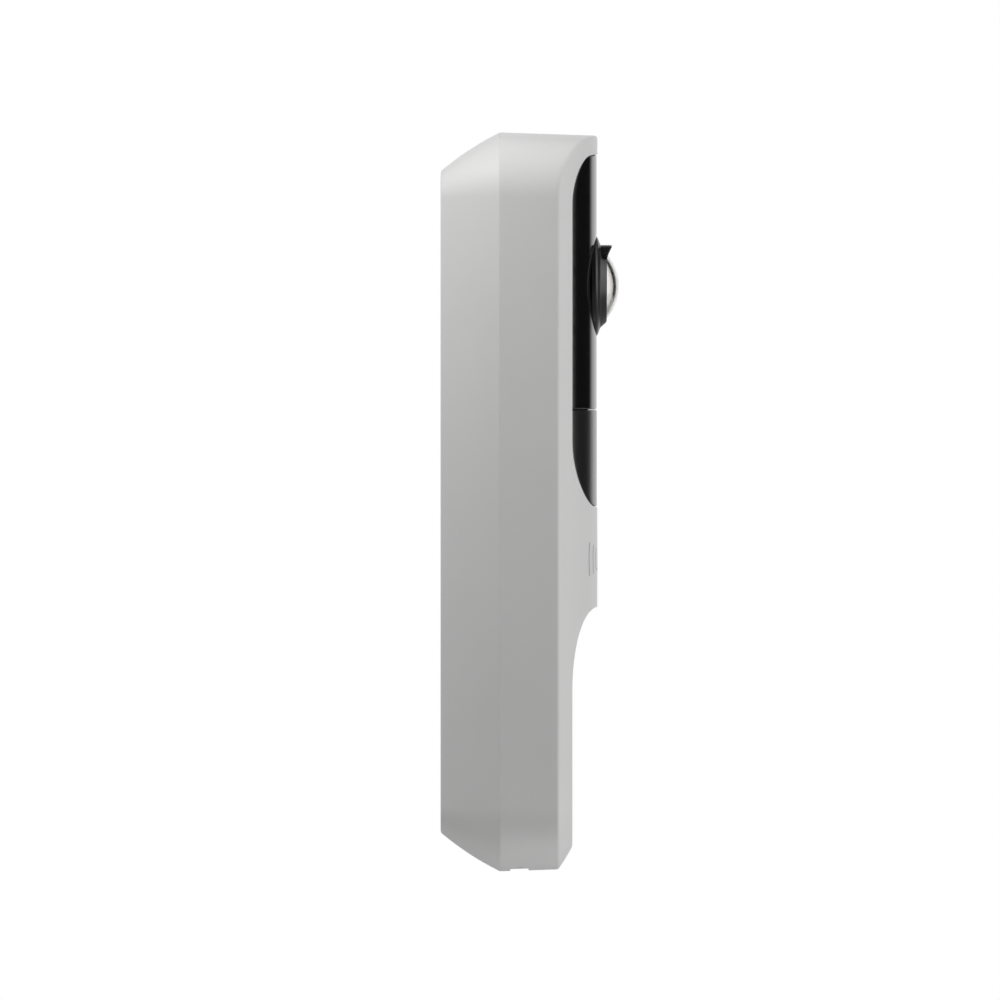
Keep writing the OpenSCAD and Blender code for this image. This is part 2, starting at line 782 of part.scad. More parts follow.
module speaker_mesh() color([0.1, 0.1, 0.1]) face_on() intersection() {
    band(body_shape, shell_wall - 0.28, shell_wall - 0.02, grille_d + 0.05, grille_d + grille_deep - 0.05);
    block(-grille_half_w + 0.05, grille_half_w - 0.05, -far, 0, 0, far);
}

// ---- Button ----

module light_ring() color([0.9, 0.95, 1]) face_on() at(button_at) difference() {
    union() {
        disc(ring_r, button_face_d + 1.1, plateau_d);
        disc(ring_flange_r, inner_front_d - 1.2, inner_front_d);
    }
    disc(ring_in_r, 0, far);
    for (p = button_posts_at) translate([p[0], 0, 0]) disc(post_r + set_gap, 0, inner_front_d + eps);
}

module button_board() color("darkgreen") face_on() difference() {
    intersection() {
        slab(body_shape, rear_wall, button_board_d, button_face_d);
        block(-far, far, button_z - 12, button_z + 12, 0, far);
    }
    for (p = button_posts_at) at(p) disc(board_screw_r + screw_gap, 0, far);
}

module button_leds() color("lightyellow") face_on() at(button_at) {
    for (i = [0:7]) rotate([0, 0, 45 * i + 22.5]) {
        block(ring_in_r + 0.3, ring_in_r + 1.9, -0.8, 0.8, button_face_d, button_face_d + 0.7);
    }
}

module tact_switch() color("dimgray") face_on() at(button_at) {
    block(-3, 3, -3, 3, button_face_d, button_face_d + 1);
    disc(1.6, button_face_d + 1 - eps, plunger_end_d - button_travel - 0.05);
}

module button_seal() color([0.3, 0.3, 0.3]) face_on() at(button_at) difference() {
    disc(ring_in_r - 0.05, seal_d, seal_d + seal_t);
    disc(plunger_r + run_gap, 0, far);
}

module button_cap() color("white") face_on() at(button_at) {
    disc(button_r, cap_back_d, plateau_d);
}

module button_plunger() color("lightgray") face_on() at(button_at) {
    disc(plunger_r, plunger_end_d, cap_back_d);
}

// ---- Small parts ----

module vent_membrane() color("white") face_on() at(vent_at) {
    disc(3.5, floor_d, floor_d + 0.25);
}

module tamper_switch() color("dimgray") face_on() at(tamper_at) {
    block(-2, 2, -2.6, 2.6, recess_d + 5, board_d);
}

module tamper_plunger() color("lightgray") face_on() at(tamper_at) {
    disc(tamper_r, plate_t + move_gap, recess_d + 3.7);
    disc(tamper_r + 0.8, floor_d + 0.2, floor_d + 1);
}

module reset_switch() color("dimgray") face_on() at(reset_at) {
    block(-2, 2, -1.9, 1.9, floor_d + 2.4, floor_d + 3.6);
    block(-3.5, 3.5, -1.9, 7.5, floor_d + 3.6, floor_d + 4.2);
    block(-3.5, 3.5, 6.2, 7.5, floor_d + 4.2 - eps, board_d);
}

module reset_button() color("lightgray") face_on() at(reset_at) {
    disc(reset_r, recess_d + 0.2, floor_d + 1.9);
    disc(reset_r + 0.8, floor_d + 0.3, floor_d + 1);
}

module case_screws() color("silver") face_on() {
    for (p = case_screws_at) at(p, recess_d) hex_drive_screw(2.1, 1.1, case_screw_r, 8.5, 0.9);
}

module board_screws() color("silver") face_on() {
    for (p = posts_at) at(p, board_d) hex_drive_screw(1.8, 0.9, board_screw_r, sensor_board_d - board_d + 2, 0.8);
    for (p = button_posts_at) at(p, button_board_d) hex_drive_screw(1.8, 0.9, board_screw_r, 4.2, 0.8);
}

module terminal_washer(side) color("silver") face_on() at(terminals_at[side]) difference() {
    block(-2.9, 2.9, -3.1, 3.1, recess_d - 0.75, recess_d + 0.05);
    disc(terminal_r + run_gap, 0, far);
}

module terminal_screw(side) color("silver") face_on() at(terminals_at[side], recess_d - 0.8) {
    screw(2.6, 1.4, terminal_r, 4.8, 0.8);
}

module terminal_washer_left() terminal_washer(0);
module terminal_screw_left() terminal_screw(0);
module terminal_washer_right() terminal_washer(1);
module terminal_screw_right() terminal_screw(1);

module lock_washer() color("dimgray") face_on() lock_axis() difference() {
    translate([0, 0, lock_seat_z - 0.35]) cylinder(r = 2.3, h = 0.3);
    translate([0, 0, lock_seat_z - 1]) cylinder(r = lock_r + run_gap, h = 2);
}

module lock_screw() color("silver") face_on() lock_axis() translate([0, 0, lock_seat_z - 0.4]) {
    hex_drive_screw(2.2, 1.4, lock_r, plate_bottom + 5 - lock_seat_z, 1);
}

mounting_plate();
lock_insert();
rear_cover();
front_shell();
shell_gasket();
camera_window();
pir_lens();
window_adhesive();
lens_bezel();
lens_visor();
lens_dome();
lens_barrel();
front_lens();
rear_lens();
ir_filter();
image_sensor();
camera_board();
camera_mount();
light_baffle();
sensor_board();
ir_leds();
light_sensor();
pir_sensor();
chassis();
main_board();
shield_can();
power_parts();
backup_battery();
wifi_antenna();
flex_cables();
terminal_block();
terminal_contacts();
microphones();
mic_seals();
speaker_frame();
speaker_cone();
speaker_magnet();
speaker_gasket();
speaker_mesh();
light_ring();
button_board();
button_leds();
tact_switch();
button_seal();
vent_membrane();
tamper_switch();
reset_switch();
case_screws();
board_screws();
button_cap();
button_plunger();
tamper_plunger();
reset_button();
terminal_washer_left();
terminal_screw_left();
terminal_washer_right();
terminal_screw_right();
lock_washer();
lock_screw();
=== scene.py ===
# %% [markdown]
# # A wall-mounted video doorbell
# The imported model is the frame: it holds every part's size and place, in metres, with +Z up, the wall at
# y = 0 and the front towards -Y. This script models the pieces that the eye rests on again, as finer meshes,
# and gives every piece a finish. Sizes are read from the frame, and the rest are named below in millimetres.

# %% Load the frame
from math import acos, asin, atan2, ceil, cos, hypot, pi, radians, sin, sqrt, tan

import bmesh
import bpy
from mathutils import Matrix, Vector
from mathutils.geometry import delaunay_2d_cdt
from mathutils.kdtree import KDTree


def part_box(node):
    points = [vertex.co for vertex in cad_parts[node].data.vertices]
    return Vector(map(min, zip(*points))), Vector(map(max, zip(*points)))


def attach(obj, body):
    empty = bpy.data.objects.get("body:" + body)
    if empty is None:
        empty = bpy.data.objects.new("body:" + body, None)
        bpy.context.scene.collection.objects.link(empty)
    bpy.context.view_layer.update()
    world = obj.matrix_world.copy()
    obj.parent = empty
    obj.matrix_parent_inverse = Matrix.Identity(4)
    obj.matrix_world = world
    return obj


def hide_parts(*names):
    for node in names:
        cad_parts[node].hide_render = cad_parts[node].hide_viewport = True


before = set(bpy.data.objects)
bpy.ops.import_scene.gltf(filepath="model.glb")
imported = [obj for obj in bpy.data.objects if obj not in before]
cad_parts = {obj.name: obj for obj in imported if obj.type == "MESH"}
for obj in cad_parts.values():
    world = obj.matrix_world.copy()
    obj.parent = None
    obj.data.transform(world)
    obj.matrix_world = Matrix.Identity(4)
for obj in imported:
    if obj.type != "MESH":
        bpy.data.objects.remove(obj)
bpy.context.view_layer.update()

MM = 0.001

# %% [markdown]
# ## Camera
# The doorbell is seen straight from its left side, from so far off that its lines stay nearly parallel. A long
# lens at 8 m gives that view, level with the middle of the housing.

# %% Camera
CAMERA_DISTANCE = 8.0
VIEW_WIDTH = 0.1849
shell_low, shell_high = (Vector(corner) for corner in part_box("front_shell"))

camera_data = bpy.data.cameras.new("side_camera")
camera_data.sensor_width = 36
camera_data.lens = camera_data.sensor_width * (CAMERA_DISTANCE + shell_low.x) / VIEW_WIDTH
camera = bpy.data.objects.new("side_camera", camera_data)
camera.location = (-CAMERA_DISTANCE, -0.011, 0.00035)
camera.rotation_euler = (pi / 2, 0, -pi / 2)
bpy.context.scene.collection.objects.link(camera)
bpy.context.scene.camera = camera
print("lens", round(camera_data.lens, 1), "mm")

# %% [markdown]
# ## Sizes
# The frame gives the boxes of the parts. The outline in front view has four corner arcs and two shallow end
# arcs, so its radii are named here. Depths are counted from the wall, towards the front.

# %% Sizes
HALF_W = shell_high.x
HALF_H = shell_high.z
PARTING = -shell_high.y
APEX = -shell_low.y
BODY = (HALF_W, HALF_H, 130 * MM, 11.5 * MM, 11.5 * MM)
FRONT_R = 40.5 * MM
FRONT_C = APEX - FRONT_R
DRAFT = tan(radians(1.9))
WALL = 2.4 * MM

window_low, window_high = (Vector(corner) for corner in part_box("camera_window"))
motion_low, motion_high = (Vector(corner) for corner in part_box("pir_lens"))
WINDOW_MID = (window_high.z + motion_low.z) / 2
WINDOW = (window_high.x, (window_high.z - motion_low.z) / 2, 150 * MM, 8.9 * MM, 11.9 * MM)
SPLIT = (window_low.z + motion_high.z) / 2

cap_low, cap_high = (Vector(corner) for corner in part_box("button_cap"))
BUTTON_Z = (cap_low.z + cap_high.z) / 2
RING_R = 12.7 * MM
PLATEAU = -Vector(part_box("light_ring")[0]).y
SCOOP_TOP = -19.4 * MM
SCOOP_END = -34.8 * MM
SCOOP_TALL = SCOOP_TOP - SCOOP_END
SCOOP_DEEP = APEX + 0.2 * MM - PLATEAU

bezel_low, bezel_high = (Vector(corner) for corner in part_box("lens_bezel"))
LENS_Z = (bezel_low.z + bezel_high.z) / 2
BEZEL_R = bezel_high.x
RIM = -bezel_low.y
print("apex", APEX, "plateau", PLATEAU, "split", SPLIT, "lens", LENS_Z)

# %% [markdown]
# ## Outlines
# An arched outline is walked once around, arc by arc. Every inset of it has the same number of points, so
# rings at different insets join point to point. A second function tells how far inside the outline a point is.

# %% Outlines
STEP = 0.7 * MM


def arched(shape, corner_r):
    half_w, half_h, end_r = shape[:3]
    end_c = half_h - end_r
    corner_x = half_w - corner_r
    corner_z = end_c + sqrt((end_r - corner_r) ** 2 - corner_x ** 2)
    return end_c, corner_x, corner_z, asin(corner_x / (end_r - corner_r))


def arc(cx, cz, r, start, turn, count):
    return [(cx + r * cos(start + turn * i / count), cz + r * sin(start + turn * i / count)) for i in range(count)]


def outline(shape, inset, mid=0.0):
    """Points around an arched outline, drawn in by inset, from the right side anticlockwise."""
    end_c, x, z, turn = arched(shape, shape[3])
    low_x, low_z, low_turn = arched(shape, shape[4])[1:]
    end_r, r, low_r = (size - inset for size in shape[2:])
    corner_n, low_n = ceil(shape[3] * (pi / 2 - turn) / STEP), ceil(shape[4] * (pi / 2 - low_turn) / STEP)
    end_n, low_end_n = ceil(shape[2] * 2 * turn / STEP), ceil(shape[2] * 2 * low_turn / STEP)
    side_n = ceil((z + low_z) / (2 * STEP))
    side = shape[0] - inset
    points = arc(x, z, r, 0, pi / 2 - turn, corner_n)
    points += arc(0, end_c, end_r, pi / 2 - turn, 2 * turn, end_n)
    points += arc(-x, z, r, pi / 2 + turn, pi / 2 - turn, corner_n)
    points += [(-side, z - (z + low_z) * i / side_n) for i in range(side_n)]
    points += arc(-low_x, -low_z, low_r, pi, pi / 2 - low_turn, low_n)
    points += arc(0, -end_c, end_r, 3 * pi / 2 - low_turn, 2 * low_turn, low_end_n)
    points += arc(low_x, -low_z, low_r, 3 * pi / 2 + low_turn, pi / 2 - low_turn, low_n)
    points += [(side, -low_z + (z + low_z) * i / side_n) for i in range(side_n)]
    return [(x, z + mid) for x, z in points]


def inside(shape, x, z, mid=0.0):
    """How far a point lies inside the outline; negative outside it."""
    corner_r = shape[3] if z > mid else shape[4]
    end_c, corner_x, corner_z, turn = arched(shape, corner_r)
    x, z = abs(x), abs(z - mid)
    if x > corner_x and z > corner_z and atan2(x, z - end_c) > turn:
        return corner_r - hypot(x - corner_x, z - corner_z)
    return min(shape[0] - x, shape[2] - hypot(x, z - end_c))


print("housing outline", len(outline(BODY, 0)), "points, window outline", len(outline(WINDOW, 0)), "points")

# %% [markdown]
# ## Tools for meshes
# Two ways of building cover the moulded shells. A ring is extruded from station to station around an outline,
# which suits the sides and the rear cover. A sheet is triangulated flat, with the outline of every feature as
# its edges, and each point is then pushed to its depth, which suits the front with its window and scoop.

# %% Tools for meshes
SMOOTH_ANGLE = radians(32)


def finish_piece(name, bm, material, body, slot, *nodes, angle=SMOOTH_ANGLE, flip=True):
    """Turns a bmesh into a piece: merged, facing outwards, smooth between its sharp edges, riding on a body."""
    bmesh.ops.remove_doubles(bm, verts=bm.verts, dist=1e-6)
    bmesh.ops.dissolve_degenerate(bm, edges=bm.edges, dist=1e-7)
    if flip:
        bmesh.ops.recalc_face_normals(bm, faces=bm.faces)
    for face in bm.faces:
        face.smooth = True
    for edge in bm.edges:
        edge.smooth = len(edge.link_faces) == 2 and edge.calc_face_angle(0) < angle
    mesh = bpy.data.meshes.new(name)
    bm.to_mesh(mesh)
    bm.free()
    piece = bpy.data.objects.new(name, mesh)
    bpy.context.scene.collection.objects.link(piece)
    mesh.materials.append(material)
    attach(piece, body)
    if nodes:
        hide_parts(*nodes)
    print(name, len(mesh.polygons), "faces")
    return piece


def first_ring(bm, points):
    """A closed wire of vertices, each marked with its place around the ring."""
    place = bm.verts.layers.int.get("place") or bm.verts.layers.int.new("place")
    verts = [bm.verts.new(point) for point in points]
    for i, vert in enumerate(verts):
        vert[place] = i
    return [bm.edges.new((verts[i - 1], verts[i])) for i in range(len(verts))]


def next_ring(bm, edges, points):
    """Extrudes the ring and moves each new vertex to its point."""
    place = bm.verts.layers.int.get("place")
    made = bmesh.ops.extrude_edge_only(bm, edges=edges)["geom"]
    for vert in (item for item in made if isinstance(item, bmesh.types.BMVert)):
        vert.co = points[vert[place]]
    return [item for item in made if isinstance(item, bmesh.types.BMEdge) and len(item.link_faces) == 1]


def at_depth(points, depth):
    return [Vector((x, -depth, z)) for x, z in points]


def sheet(bm, loops, keep, depth, spacing, extra=()):
    """Triangulates the area that keep() allows, with every loop as edges, and pushes it to its depth."""
    flat = [Vector(point) for loop in loops for point in loop]
    edges, start = [], 0
    for loop in loops:
        edges += [(start + i, start + (i + 1) % len(loop)) for i in range(len(loop))]
        start += len(loop)
    flat += [Vector(point) for point in extra]
    near = KDTree(len(flat))
    for i, point in enumerate(flat):
        near.insert((point.x, point.y, 0), i)
    near.balance()
    low = Vector((min(p.x for p in flat), min(p.y for p in flat)))
    high = Vector((max(p.x for p in flat), max(p.y for p in flat)))
    across, up = (ceil((high[i] - low[i]) / spacing) for i in range(2))
    for j in range(up + 1):
        for i in range(across + 1):
            x = low.x + (high.x - low.x) * i / across
            z = low.y + (high.y - low.y) * j / up
            if keep(x, z) and near.find((x, z, 0))[2] > 0.45 * spacing:
                flat.append(Vector((x, z)))
    points, _, triangles = delaunay_2d_cdt(flat, edges, [], 1, 1e-7)[:3]
    verts = [None] * len(points)
    for corners in triangles:
        middle = sum((points[i] for i in corners), Vector((0, 0))) / 3
        if keep(middle.x, middle.y):
            for i in corners:
                if verts[i] is None:
                    verts[i] = bm.verts.new((points[i].x, -depth(points[i].x, points[i].y), points[i].y))
            bm.faces.new([verts[i] for i in corners])


def spun(profile, middle, steps=96, turn=2 * pi, start=0.0):
    """Spins a profile of (radius, depth) points, in millimetres, about an axis that runs along the depth."""
    bm = bmesh.new()
    verts = [bm.verts.new((r * MM, -d * MM, 0)) for r, d in profile]
    edges = [bm.edges.new(pair) for pair in zip(verts, verts[1:])]
    bmesh.ops.rotate(bm, verts=verts, cent=(0, 0, 0), matrix=Matrix.Rotation(-start, 3, "Y"))
    bmesh.ops.spin(
        bm, geom=verts + edges, cent=(0, 0, 0), axis=(0, -1, 0), dvec=(0, 0, 0), angle=turn, steps=steps,
        use_merge=turn > 6.28, use_normal_flip=False, use_duplicate=False,
    )
    bmesh.ops.remove_doubles(bm, verts=bm.verts, dist=1e-7)
    bmesh.ops.translate(bm, verts=bm.verts, vec=(middle[0], 0, middle[1]))
    return bm


def rounded(points, radius, steps=4):
    """Rounds every inner corner of an open profile of (radius, depth) points."""
    result = [points[0]]
    for before, corner, after in zip(points, points[1:], points[2:]):
        corner, before, after = Vector(corner), Vector(before), Vector(after)
        a, b = (before - corner), (after - corner)
        reach = min(radius, a.length * 0.45, b.length * 0.45)
        p, q = corner + a.normalized() * reach, corner + b.normalized() * reach
        for i in range(steps + 1):
            t = i / steps
            result.append(tuple((1 - t) ** 2 * p + 2 * t * (1 - t) * corner + t ** 2 * q))
    return result + [points[-1]]


def cut(piece, cutter_bm):
    """Takes a cutter's shape out of a piece, and keeps its smooth and sharp edges."""
    mesh = bpy.data.meshes.new("cutter")
    bmesh.ops.recalc_face_normals(cutter_bm, faces=cutter_bm.faces)
    cutter_bm.to_mesh(mesh)
    cutter_bm.free()
    cutter = bpy.data.objects.new("cutter", mesh)
    bpy.context.scene.collection.objects.link(cutter)
    modifier = piece.modifiers.new("cut", "BOOLEAN")
    modifier.operation = "DIFFERENCE"
    modifier.solver = "EXACT"
    modifier.object = cutter
    graph = bpy.context.evaluated_depsgraph_get()
    graph.update()
    result = bpy.data.meshes.new_from_object(piece.evaluated_get(graph))
    piece.modifiers.clear()
    old = piece.data
    piece.data = result
    result.name = old.name
    bpy.data.meshes.remove(old)
    bpy.data.objects.remove(cutter)
    bpy.data.meshes.remove(mesh)
    bm = bmesh.new()
    bm.from_mesh(result)
    for edge in bm.edges:
        if len(edge.link_faces) == 2 and edge.calc_face_angle(0) > SMOOTH_ANGLE:
            edge.smooth = False
    bm.to_mesh(result)
    bm.free()


def add_block(bm, low, high):
    """Adds a box between two corners."""
    low, high = Vector(low), Vector(high)
    made = bmesh.ops.create_cube(bm, size=1)["verts"]
    bmesh.ops.scale(bm, verts=made, vec=high - low)
    bmesh.ops.translate(bm, verts=made, vec=(low + high) / 2)
    return made


def add_rod(bm, middle, r, length, axis="Y", segments=32):
    """Adds a round bar, centred on a point."""
    turn = Matrix.Rotation(pi / 2, 4, "X") if axis == "Y" else Matrix.Identity(4)
    bmesh.ops.create_cone(
        bm, cap_ends=True, segments=segments, radius1=r, radius2=r, depth=length,
        matrix=Matrix.Translation(middle) @ turn,
    )


# %% [markdown]
# ## Writing shaders as sums
# A finish is a small graph of nodes. The class below wraps a socket so that sums on values read as sums, and
# one method adds any other node from its type, its settings and its inputs.

# %% Shader tools


class Wire:
    def __init__(self, finish, socket):
        self.finish, self.socket = finish, socket

    def maths(self, operation, a, b):
        return self.finish.node("ShaderNodeMath", {"operation": operation}, {0: a, 1: b})

    def __add__(self, other):
        return self.maths("ADD", self, other)

    def __radd__(self, other):
        return self.maths("ADD", other, self)

    def __sub__(self, other):
        return self.maths("SUBTRACT", self, other)

    def __rsub__(self, other):
        return self.maths("SUBTRACT", other, self)

    def __mul__(self, other):
        return self.maths("MULTIPLY", self, other)

    def __rmul__(self, other):
        return self.maths("MULTIPLY", other, self)


class Finish:
    """One material: a Principled shader whose sockets are set, or fed, by name."""

    def __init__(self, name, **sockets):
        self.material = bpy.data.materials.new(name)
        self.material.use_nodes = True
        self.tree = self.material.node_tree
        self.tree.nodes.clear()
        self.surface = self.tree.nodes.new("ShaderNodeBsdfPrincipled")
        output = self.tree.nodes.new("ShaderNodeOutputMaterial")
        self.tree.links.new(self.surface.outputs[0], output.inputs[0])
        self.place = self.node("ShaderNodeTexCoord", output="Object")
        self.set(**sockets)

    def feed(self, socket, value):
        if isinstance(value, Wire):
            self.tree.links.new(value.socket, socket)
        else:
            socket.default_value = value

    def set(self, **sockets):
        for name, value in sockets.items():
            self.feed(self.surface.inputs[name.replace("_", " ").title().replace("Ior", "IOR")], value)

    def node(self, kind, settings=None, inputs=None, output=0):
        made = self.tree.nodes.new(kind)
        for name, value in (settings or {}).items():
            if name == "stops":
                ramp = made.color_ramp.elements
                while len(ramp) < len(value):
                    ramp.new(0.5)
                for stop, (position, colour) in zip(ramp, value):
                    stop.position, stop.color = position, (*colour, 1) if len(colour) == 3 else colour
            else:
                setattr(made, name, value)
        for name, value in (inputs or {}).items():
            self.feed(made.inputs[name], value)
        return Wire(self, made.outputs[output])

    def stretched(self, scale):
        return self.node("ShaderNodeMapping", None, {"Vector": self.place, "Scale": scale})

    def noise(self, size, detail=2.0, place=None):
        """Cloudy noise, from 0 to 1, whose grains are about size metres across."""
        inputs = {"Vector": place or self.place, "Scale": 1 / size, "Detail": detail}
        return self.node("ShaderNodeTexNoise", None, inputs, "Fac")

    def band(self, value, low, high):
        """0 below low and 1 above high, with a smooth step between."""
        settings = {"interpolation_type": "SMOOTHSTEP"}
        return self.node("ShaderNodeMapRange", settings, {"Value": value, "From Min": low, "From Max": high})

    def mix(self, amount, a, b):
        """Mixes two colours."""
        first, second = (colour if isinstance(colour, Wire) else (*colour, 1) for colour in (a, b))
        return self.node("ShaderNodeMix", {"data_type": "RGBA"}, {0: amount, 6: first, 7: second}, 2)

    def bump(self, height, depth, strength=1.0):
        """Raises the surface by depth metres where height is 1."""
        inputs = {"Height": height, "Distance": depth, "Strength": strength}
        self.set(normal=self.node("ShaderNodeBump", None, inputs))


print("shader tools ready")

# %% [markdown]
# ## White plastic
# The housing is moulded in a warm neutral white, and the mould is lightly blasted so that the surface scatters
# light softly. Fine noise feeds a bump of a few thousandths of a millimetre and moves the roughness a little.
# A larger, fainter cloud keeps the colour from being dead flat.

# %% White plastic


def moulded(name, colour, roughness=0.45, grain=0.35 * MM, depth=0.006 * MM, cloud=0.02, **sockets):
    """A moulded plastic with a blasted surface."""
    finish = Finish(name, **sockets)
    fine, broad = finish.noise(grain, 3), finish.noise(18 * MM, 2)
    dark = tuple(channel * (1 - 2 * cloud) for channel in colour)
    finish.set(base_color=finish.mix(broad, dark, colour), roughness=roughness - 0.05 + 0.1 * fine)
    finish.bump(fine, depth)
    return finish.material


white_shell = moulded("white_shell", (0.80, 0.80, 0.795), 0.46)
white_cover = moulded("white_cover", (0.80, 0.80, 0.795), 0.5, grain=0.45 * MM)
print("white plastics ready")

# %% [markdown]
# ## Black parts
# The camera window is polished and so dark that it reads as glass. The motion lens below it is moulded in a
# dark plastic that lets heat through, and that plastic never takes a full polish. The trim around the lens is
# a satin black. Each has its own faint unevenness: a polished sheet waves over centimetres, and satin has grain.

# %% Black parts


def polished(name, colour, roughness, wave=0.01 * MM, **sockets):
    """A glossy moulding: almost a mirror, with slow waves and the faintest haze."""
    finish = Finish(name, **sockets)
    slow, haze = finish.noise(14 * MM, 1), finish.noise(3 * MM, 4)
    dark = tuple(channel * 0.8 for channel in colour)
    finish.set(base_color=finish.mix(haze, dark, colour), roughness=roughness + 0.05 * haze)
    finish.bump(slow, wave)
    return finish.material


black_window = polished("black_window", (0.006, 0.006, 0.007), 0.06, specular_ior_level=0.4)
motion_lens = moulded("motion_lens", (0.014, 0.014, 0.015), 0.19, grain=0.25 * MM, depth=0.002 * MM)
black_trim = moulded("black_trim", (0.012, 0.012, 0.013), 0.3, grain=0.3 * MM, depth=0.002 * MM)
black_plastic = moulded("black_plastic", (0.02, 0.02, 0.021), 0.5)
print("black parts ready")

# %% [markdown]
# ## Glass
# The dome is clear glass, and the lens elements below it carry coatings that throw back violet and blue. A thin
# film on the shader gives that colour from its thickness, so it turns with the angle as a real coating does.

# %% Glass


def coated_glass(name, tint, film, roughness=0.01, **sockets):
    film_sockets = {"thin_film_thickness": film, "thin_film_ior": 1.38}
    finish = Finish(name, transmission_weight=1.0, ior=1.5, **film_sockets, **sockets)
    dust = finish.noise(1.5 * MM, 3)
    dusty = tuple(min(1, c * 1.03) for c in tint)
    finish.set(base_color=finish.mix(dust, tint, dusty), roughness=roughness + 0.01 * dust)
    finish.bump(finish.noise(6 * MM, 1), 0.001 * MM)
    return finish.material


dome_glass = coated_glass("dome_glass", (0.93, 0.92, 0.9), 0.0)
lens_glass = coated_glass("lens_glass", (0.72, 0.6, 0.5), 330.0)
ir_glass = coated_glass("ir_glass", (0.6, 0.25, 0.25), 520.0)
print("glass ready")

# %% [markdown]
# ## Metals
# The bracket is stamped from sheet steel and brushed along its length, so its grain is noise stretched upwards.
# Its corners show brighter where the plating has rubbed, which pointiness would find only on fine meshes; a
# patchy cloud does the work here. Screws and terminals are turned, and brass has a trace of tarnish.

# %% Metals


def brushed(name, colour, roughness, stretch=(1, 1, 0.03), size=0.12 * MM, tarnish=0.12):
    finish = Finish(name, metallic=1.0)
    grain = finish.noise(size, 2, finish.stretched(stretch))
    cloud = finish.noise(5 * MM, 4)
    dark = tuple(channel * (1 - tarnish) for channel in colour)
    worn = roughness - 0.06 + 0.14 * grain + 0.05 * cloud
    finish.set(base_color=finish.mix(cloud, dark, colour), roughness=worn)
    finish.bump(grain, 0.004 * MM)
    return finish.material


bracket_steel = brushed("bracket_steel", (0.6, 0.61, 0.62), 0.36)
bright_metal = brushed("bright_metal", (0.68, 0.68, 0.69), 0.27, (1, 1, 1), 0.4 * MM, 0.08)
brass_parts = brushed("brass_parts", (0.76, 0.56, 0.26), 0.3, (1, 1, 1), 0.4 * MM, 0.25)
battery_foil = brushed("battery_foil", (0.62, 0.66, 0.72), 0.34, (1, 0.2, 1), 1.2 * MM, 0.05)
print("metals ready")

# %% [markdown]
# ## Boards and small parts
# A circuit board's green mask shows the copper tracks beneath it as lighter lines. Two square grids of thin
# bands, broken up by noise, read as tracks at this scale. The rest are plain mouldings in their own colours.

# %% Boards and small parts


def board_mask(name, mask, copper):
    finish = Finish(name, coat_weight=0.4, coat_roughness=0.12)
    cells = finish.node(
        "ShaderNodeTexBrick", {"offset": 0.5},
        {"Vector": finish.place, "Scale": 1 / (1.8 * MM), "Mortar Size": 0.06, "Mortar Smooth": 0.1}, "Fac",
    )
    tracks = cells * finish.band(finish.noise(7 * MM, 1), 0.42, 0.5)
    finish.set(base_color=finish.mix(tracks, mask, copper), roughness=0.32 + 0.15 * finish.noise(0.5 * MM, 2))
    finish.bump(tracks, 0.02 * MM)
    return finish.material


def woven(name, colour, pitch):
    """Threads over and under, as on speaker paper and vent film."""
    finish = Finish(name)
    weave = finish.node("ShaderNodeTexChecker", None, {"Vector": finish.place, "Scale": 1 / pitch}, "Fac")
    fibre = finish.noise(0.2 * MM, 3)
    finish.set(base_color=finish.mix(fibre, tuple(c * 0.7 for c in colour), colour), roughness=0.8 + 0.15 * fibre)
    finish.bump(0.5 * weave + fibre, 0.02 * MM)
    return finish.material


small_finishes = {
    "circuit_board": board_mask("circuit_board", (0.01, 0.09, 0.035), (0.03, 0.2, 0.08)),
    "chassis_plastic": moulded("chassis_plastic", (0.22, 0.23, 0.24), 0.55),
    "ir_resin": polished("ir_resin", (0.06, 0.02, 0.08), 0.1),
    "sensor_silicon": polished("sensor_silicon", (0.03, 0.05, 0.07), 0.08),
    "power_parts": moulded("power_parts", (0.05, 0.05, 0.055), 0.5),
    "film": polished("film", (0.55, 0.2, 0.03), 0.2),
    "terminal_plastic": moulded("terminal_plastic", (0.62, 0.6, 0.5), 0.5),
    "soft_rubber": moulded("soft_rubber", (0.035, 0.035, 0.037), 0.7),
    "speaker_paper": woven("speaker_paper", (0.05, 0.05, 0.055), 0.6 * MM),
    "light_guide": moulded(
        "light_guide", (0.86, 0.9, 0.93), 0.3, subsurface_weight=0.3, subsurface_radius=(0.004, 0.004, 0.004)
    ),
    "led_resin": polished("led_resin", (0.9, 0.83, 0.5), 0.1),
    "vent_film": woven("vent_film", (0.7, 0.7, 0.69), 0.4 * MM),
    "grey_plastic": moulded("grey_plastic", (0.42, 0.42, 0.43), 0.45),
}
finishes = {
    "white_shell": white_shell, "white_cover": white_cover, "black_window": black_window,
    "motion_lens": motion_lens, "black_trim": black_trim, "black_plastic": black_plastic,
    "lens_glass": lens_glass, "ir_glass": ir_glass, "bracket_steel": bracket_steel,
    "bright_metal": bright_metal, "brass_parts": brass_parts, "battery_foil": battery_foil, **small_finishes,
}
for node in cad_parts.values():
    for place in node.material_slots:
        place.material = finishes[place.material.name.split(".")[0]]
print("finishes given to", len(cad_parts), "nodes")

# %% [markdown]
# ## The front shell
# One moulding makes the sides, the convex front and the scoop around the button. Its front face is a sheet: a
# cylinder about an upright axis, cut by the scoop's quarter ellipse, and turned down along the bottom edge.
# The sides are rings that lean in by the draft angle, and a small rounding joins the two.

# %% The depth of the front face
CORNER_Z = arched(BODY, BODY[3])[2]
PLATEAU_IN = HALF_W - sqrt(FRONT_R ** 2 - (PLATEAU - FRONT_C) ** 2)


def crown(x, r=FRONT_R):
    return FRONT_C + sqrt(r ** 2 - min(abs(x), 0.98 * r) ** 2)


